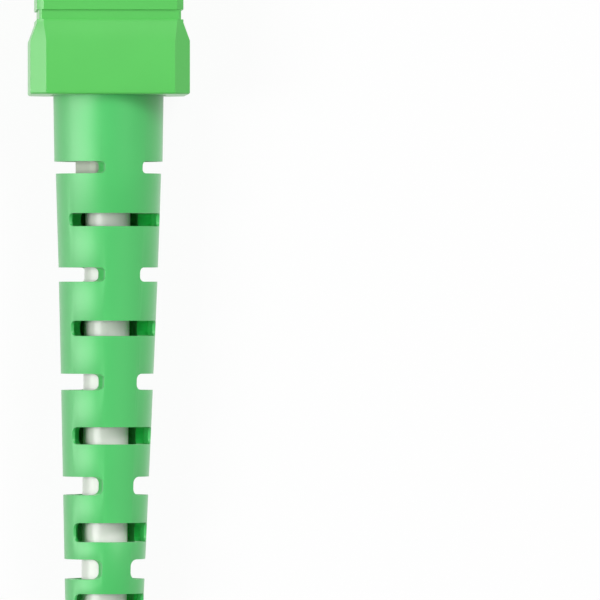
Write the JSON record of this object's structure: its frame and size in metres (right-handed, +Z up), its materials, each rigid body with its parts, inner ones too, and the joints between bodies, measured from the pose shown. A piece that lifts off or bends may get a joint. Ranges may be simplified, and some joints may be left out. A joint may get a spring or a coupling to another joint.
{
  "type": "sc fibre connector",
  "caption": "Angled-polish plug for a single optical fibre, with a push-pull coupling sleeve, a slotted strain relief boot and a 2.8 mm cable pigtail.",
  "frame": {"origin": "on the surface under the middle of the plug and boot, from ferrule tip to boot tail", "axes": "+Y towards the ferrule tip, +Z up through the key, +X to the right seen from above with the tip ahead"},
  "size_m": [0.0293, 0.1125, 0.014],
  "materials": {
    "green_shell": "moulded, soft gloss",
    "green_boot": "moulded, satin",
    "white_shell": "moulded, satin",
    "white_jacket": "extruded, satin",
    "buffer_white": "extruded",
    "clear_tube": "translucent tube",
    "aramid": "loose yarn",
    "zirconia": "polished ceramic",
    "glass_fibre": "polished",
    "nickel": "plated",
    "crimp_metal": "drawn, crimped",
    "spring_steel": "drawn wire"
  },
  "bodies": {
    "inner_body": {"plug_frame": "white_shell", "stopper": "nickel", "crimp_sleeve": "crimp_metal", "aramid_yarn": "aramid", "cable_jacket": "white_jacket", "tight_buffer": "buffer_white", "float_spring": "spring_steel", "strain_boot": "green_boot", "cord_lead": "white_jacket", "cord_hank": "white_jacket"},
    "grip_sleeve": {"outer_housing": "green_shell"},
    "ferrule_unit": {"ferrule": "zirconia", "ferrule_flange": "nickel", "guide_tube": "clear_tube", "glass_fibre": "glass_fibre"}
  },
  "joints": [
    {"name": "coupling_slide", "type": "slide", "parent": "inner_body", "child": "grip_sleeve", "axis": [0, 1, 0], "range_m": [-0.0012, 0]},
    {"name": "ferrule_float", "type": "slide", "parent": "inner_body", "child": "ferrule_unit", "axis": [0, 1, 0], "range_m": [-0.001, 0], "stiffness_N_per_m": 1500, "deforming": ["float_spring", "tight_buffer"]}
  ]
}
